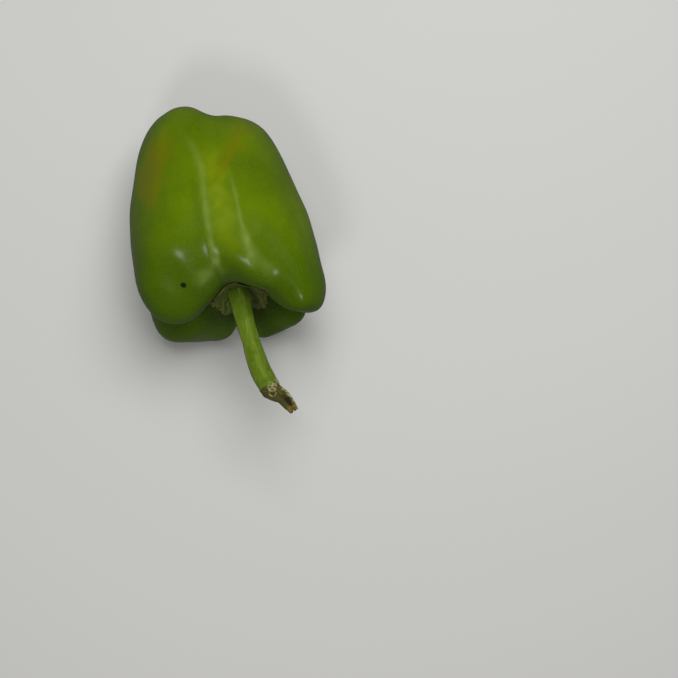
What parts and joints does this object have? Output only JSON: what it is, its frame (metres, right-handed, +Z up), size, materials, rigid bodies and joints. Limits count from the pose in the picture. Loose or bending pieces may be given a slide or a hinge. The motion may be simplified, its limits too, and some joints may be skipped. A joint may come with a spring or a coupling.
{
  "type": "bell pepper",
  "caption": "Blocky green bell pepper with its calyx, curved stalk and dry torn stub, lying on its side as picked.",
  "frame": {"origin": "on the surface that the pepper lies on, under the middle of its box, stalk included", "axes": "+Z up, +Y along the pepper towards its blossom end, so the stalk points to -Y"},
  "size_m": [0.0796, 0.1392, 0.0737],
  "materials": {
    "waxy_skin": "waxy, glossy, lightly mottled",
    "calyx_skin": "matt, wrinkled, drying to brown at the rim",
    "stalk_skin": "satin, ribbed along its length",
    "dry_bark": "dry, fibrous, ragged"
  },
  "bodies": {
    "root": {"fruit": "waxy_skin", "calyx": "calyx_skin", "stalk": "stalk_skin", "stub": "dry_bark"}
  },
  "joints": []
}
